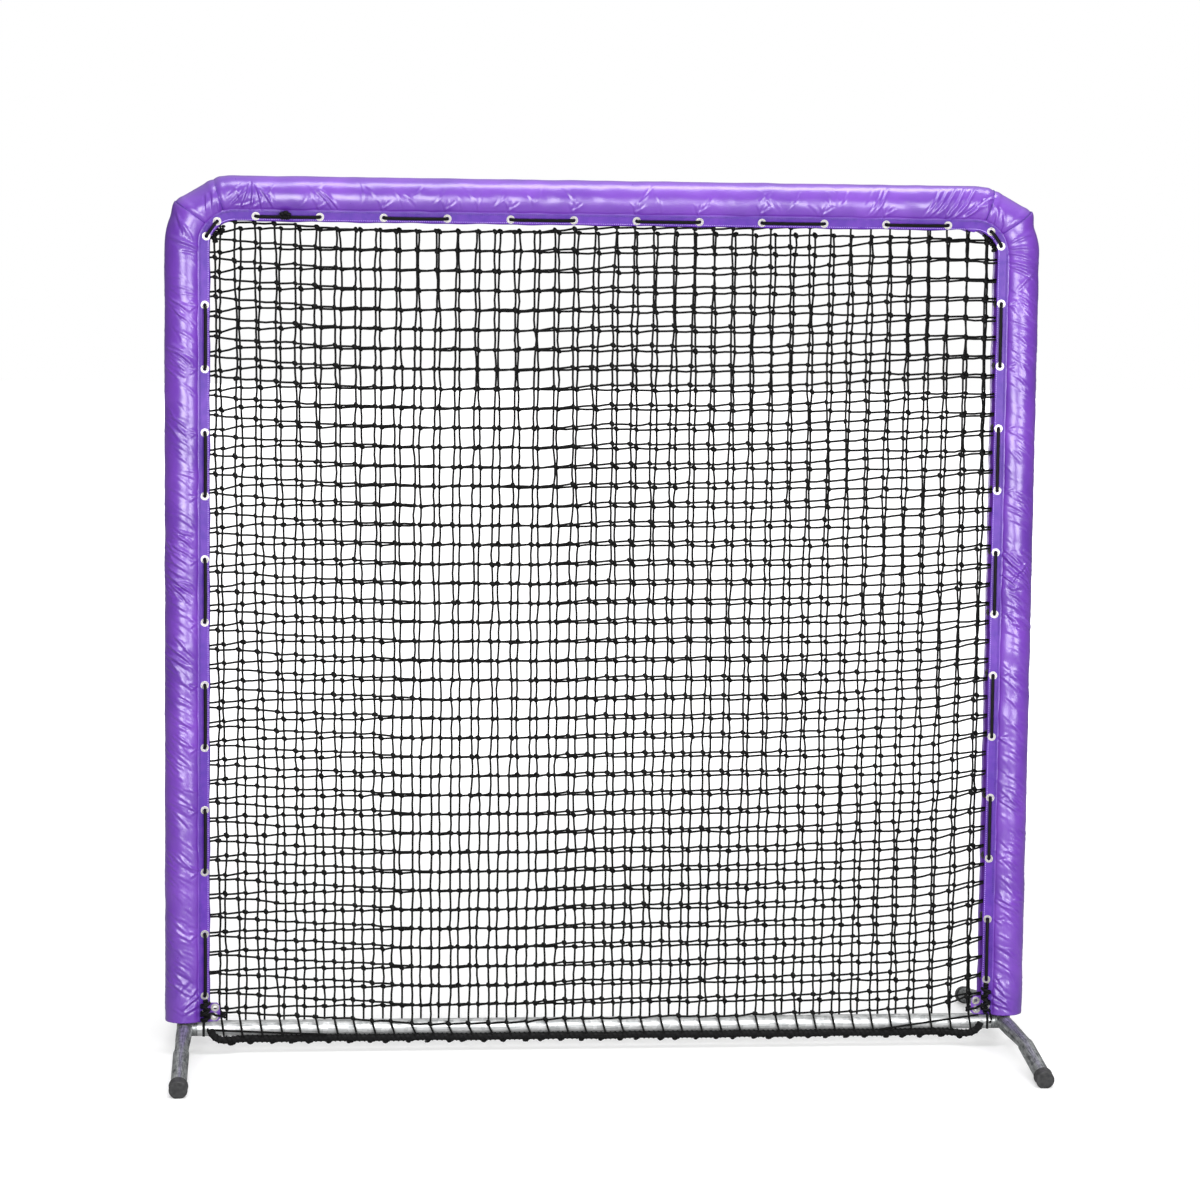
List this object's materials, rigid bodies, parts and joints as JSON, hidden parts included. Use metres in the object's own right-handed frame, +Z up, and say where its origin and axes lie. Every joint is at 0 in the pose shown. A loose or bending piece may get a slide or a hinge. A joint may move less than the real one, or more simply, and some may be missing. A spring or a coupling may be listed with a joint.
{
  "type": "padded pitching screen",
  "caption": "Freestanding square net screen for pitching practice: a steel tube frame with a double-faced net, laced padded covers and capped feet.",
  "frame": {"origin": "on the floor, under the middle of the frame", "axes": "+Z up, +X to the right along the frame, -Y to the front of the screen"},
  "size_m": [2.1272, 0.9666, 2.1296],
  "materials": {
    "galvanised_steel": "bright galvanised tube, satin",
    "rubber_cap": "matt moulded rubber",
    "pad_foam": "closed-cell foam, unseen",
    "purple_vinyl": "satin vinyl-coated cloth, wrinkled",
    "grommet_metal": "rolled, bright",
    "net_twine": "knotted twine, matt",
    "hem_rope": "gathered net and rope, matt",
    "lacing_cord": "braided cord, matt"
  },
  "bodies": {
    "frame": {"left_base": "galvanised_steel", "right_base": "galvanised_steel", "left_post": "galvanised_steel", "right_post": "galvanised_steel", "left_elbow": "galvanised_steel", "right_elbow": "galvanised_steel", "top_rail": "galvanised_steel", "bottom_rail": "galvanised_steel", "left_foam": "pad_foam", "top_foam": "pad_foam", "right_foam": "pad_foam", "left_cover": "purple_vinyl", "left_gusset": "purple_vinyl", "top_cover": "purple_vinyl", "right_gusset": "purple_vinyl", "right_cover": "purple_vinyl", "left_tab": "purple_vinyl", "right_tab": "purple_vinyl", "left_grommets": "grommet_metal", "top_grommets": "grommet_metal", "right_grommets": "grommet_metal", "tab_grommets": "grommet_metal", "front_net": "net_twine", "back_net": "net_twine", "hem_rope": "hem_rope", "left_lace": "lacing_cord", "top_lace": "lacing_cord", "right_lace": "lacing_cord", "left_lashing": "lacing_cord", "right_lashing": "lacing_cord", "start_knot": "lacing_cord"},
    "left_front_foot": {"left_front_foot": "galvanised_steel", "left_front_cap": "rubber_cap"},
    "left_rear_foot": {"left_rear_foot": "galvanised_steel", "left_rear_cap": "rubber_cap"},
    "right_front_foot": {"right_front_foot": "galvanised_steel", "right_front_cap": "rubber_cap"},
    "right_rear_foot": {"right_rear_foot": "galvanised_steel", "right_rear_cap": "rubber_cap"}
  },
  "joints": [
    {"name": "left_front_foot_slide", "type": "slide", "parent": "frame", "child": "left_front_foot", "axis": [0, -0.9863, -0.165], "range_m": [0, 0.09]},
    {"name": "left_rear_foot_slide", "type": "slide", "parent": "frame", "child": "left_rear_foot", "axis": [0, 0.9863, -0.165], "range_m": [0, 0.09]},
    {"name": "right_front_foot_slide", "type": "slide", "parent": "frame", "child": "right_front_foot", "axis": [0, -0.9863, -0.165], "range_m": [0, 0.09]},
    {"name": "right_rear_foot_slide", "type": "slide", "parent": "frame", "child": "right_rear_foot", "axis": [0, 0.9863, -0.165], "range_m": [0, 0.09]}
  ]
}
